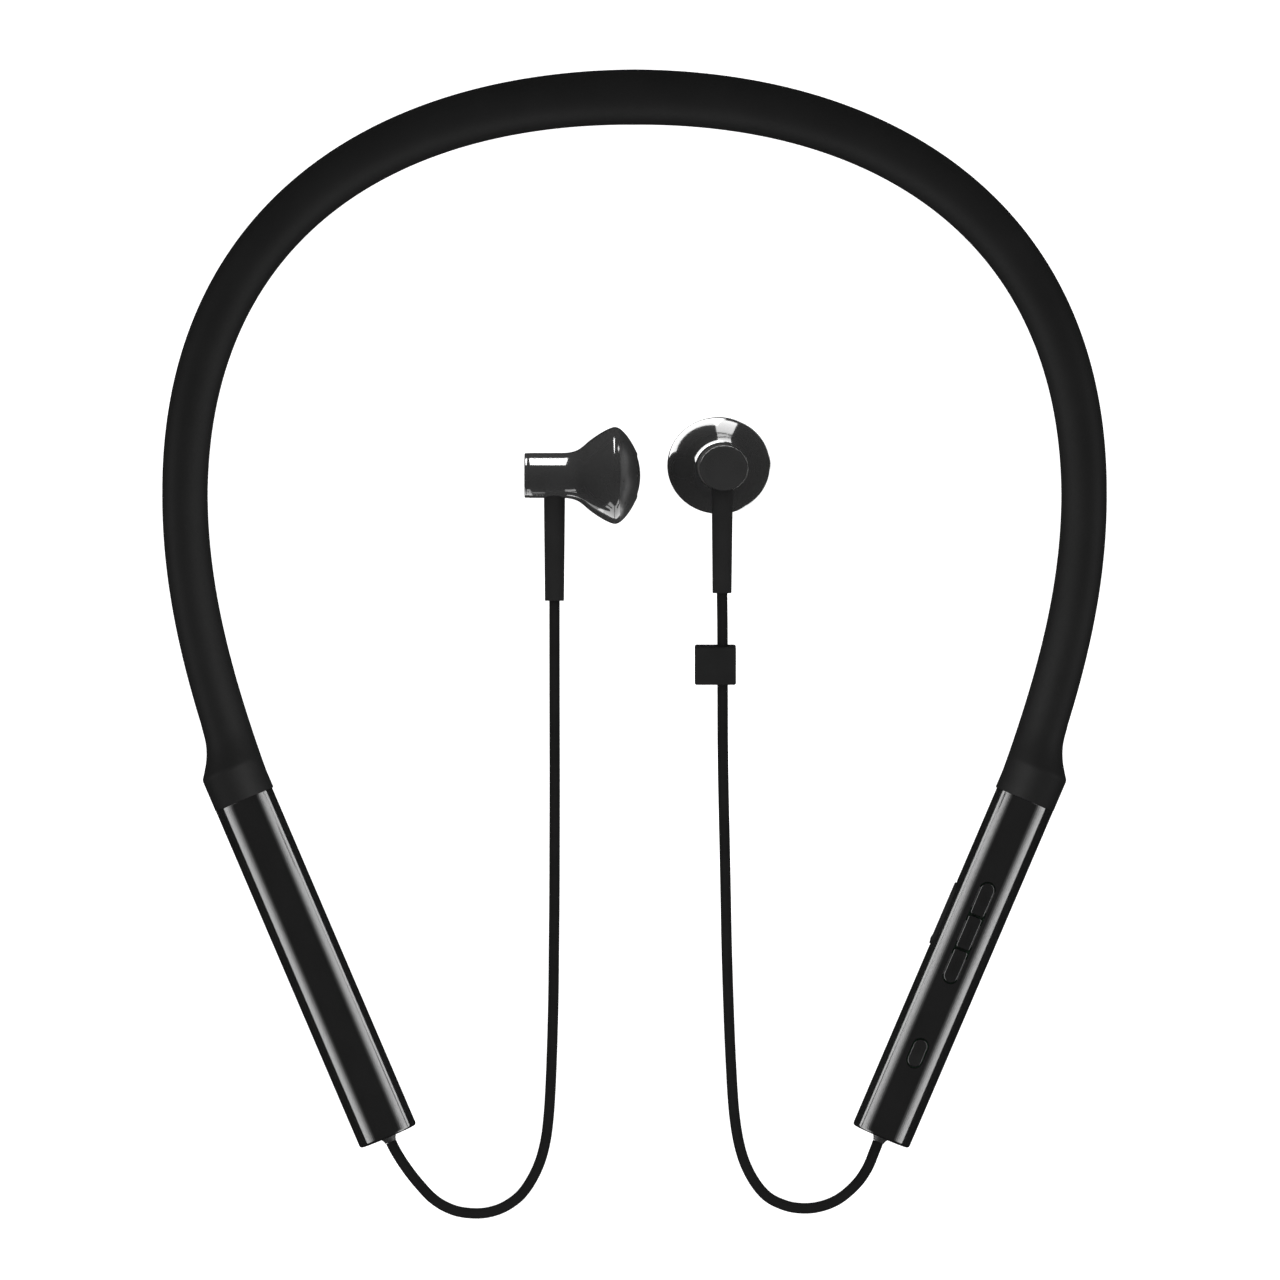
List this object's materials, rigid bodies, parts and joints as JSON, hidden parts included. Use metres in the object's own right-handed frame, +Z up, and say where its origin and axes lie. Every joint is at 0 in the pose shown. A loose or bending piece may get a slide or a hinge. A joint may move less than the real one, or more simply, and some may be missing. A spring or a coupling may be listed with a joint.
{
  "type": "neckband earphones",
  "caption": "Soft neckband with two round barrels and two corded earbuds, laid flat; band arms flex, keys press, port cover opens, cord clip slides.",
  "frame": {"origin": "middle of the footprint of the band, barrels and earbuds, on the table they lie on", "axes": "+Z up, +Y towards the nape of the neck, X from the left barrel to the right one"},
  "size_m": [0.145, 0.1766, 0.018],
  "materials": {
    "silicone": "matte black silicone rubber",
    "spring_steel": "bare spring wire",
    "cord_jacket": "satin black elastomer jacket",
    "barrel_black": "high gloss black",
    "gloss_black": "high gloss black",
    "key_black": "soft gloss black",
    "satin_rubber": "satin black rubber",
    "satin_plastic": "satin black",
    "inner_plastic": "moulded carrier",
    "steel": "plain steel",
    "magnet": "nickel plated",
    "diaphragm_film": "thin polymer film",
    "circuit_board": "green solder mask",
    "cell_foil": "wrapped cell",
    "lens": "smoked clear plastic"
  },
  "bodies": {
    "band_rear": {"sleeve_rear": "silicone", "spring_core_rear": "spring_steel", "link_cable_rear": "cord_jacket"},
    "left_arm": {"sleeve_left": "silicone", "spring_core_left": "spring_steel", "link_cable_left": "cord_jacket", "barrel_tube_left": "barrel_black", "chassis_left": "inner_plastic", "band_joiner_left": "steel", "end_cap_left": "gloss_black", "cord_grommet_left": "satin_rubber", "cord_left": "cord_jacket", "rear_housing_left": "gloss_black", "stem_cap_left": "gloss_black", "front_cover_left": "gloss_black", "grille_left": "steel", "driver_basket_left": "steel", "driver_magnet_left": "magnet", "diaphragm_left": "diaphragm_film", "strain_relief_left": "satin_rubber", "battery_cell": "cell_foil", "protection_board": "circuit_board"},
    "right_arm": {"sleeve_right": "silicone", "spring_core_right": "spring_steel", "link_cable_right": "cord_jacket", "barrel_tube_right": "barrel_black", "chassis_right": "inner_plastic", "band_joiner_right": "steel", "end_cap_right": "gloss_black", "cord_grommet_right": "satin_rubber", "cord_right": "cord_jacket", "rear_housing_right": "gloss_black", "stem_cap_right": "gloss_black", "front_cover_right": "gloss_black", "grille_right": "steel", "driver_basket_right": "steel", "driver_magnet_right": "magnet", "diaphragm_right": "diaphragm_film", "strain_relief_right": "satin_rubber", "main_board": "circuit_board", "radio_shield_can": "steel", "charging_socket": "steel", "status_led": "lens", "led_window": "lens", "microphone": "steel", "switch_volume_up": "steel", "switch_play": "steel", "switch_volume_down": "steel"},
    "key_volume_up": {"key_volume_up": "key_black"},
    "key_play": {"key_play": "key_black"},
    "key_volume_down": {"key_volume_down": "key_black"},
    "port_cover": {"port_cover": "satin_rubber"},
    "cable_clip": {"cable_clip": "satin_plastic"}
  },
  "joints": [
    {"name": "left_arm_flex", "type": "hinge", "parent": "band_rear", "child": "left_arm", "pos_m": [-0.02992, 0.07392, 0.00344], "axis": [0, 0, -1], "range_deg": [0, 15], "stiffness_Nm_per_rad": 0.4},
    {"name": "right_arm_flex", "type": "hinge", "parent": "band_rear", "child": "right_arm", "pos_m": [0.02992, 0.07392, 0.00344], "axis": [0, 0, 1], "range_deg": [0, 15], "stiffness_Nm_per_rad": 0.4},
    {"name": "press_volume_up", "type": "slide", "parent": "right_arm", "child": "key_volume_up", "axis": [0, 0, -1], "range_m": [0, 0.00025], "stiffness_N_per_m": 3000, "springref_m": -0.0001},
    {"name": "press_play", "type": "slide", "parent": "right_arm", "child": "key_play", "axis": [0, 0, -1], "range_m": [0, 0.00025], "stiffness_N_per_m": 3000, "springref_m": -0.0001},
    {"name": "press_volume_down", "type": "slide", "parent": "right_arm", "child": "key_volume_down", "axis": [0, 0, -1], "range_m": [0, 0.00025], "stiffness_N_per_m": 3000, "springref_m": -0.0001},
    {"name": "port_cover_hinge", "type": "hinge", "parent": "right_arm", "child": "port_cover", "pos_m": [0.04907, -0.04199, 0.00472], "axis": [0, 0, -1], "range_deg": [0, 100]},
    {"name": "clip_slide", "type": "slide", "parent": "right_arm", "child": "cable_clip", "axis": [0, -0.9903, -0.1387], "range_m": [-0.004, 0.009]}
  ]
}
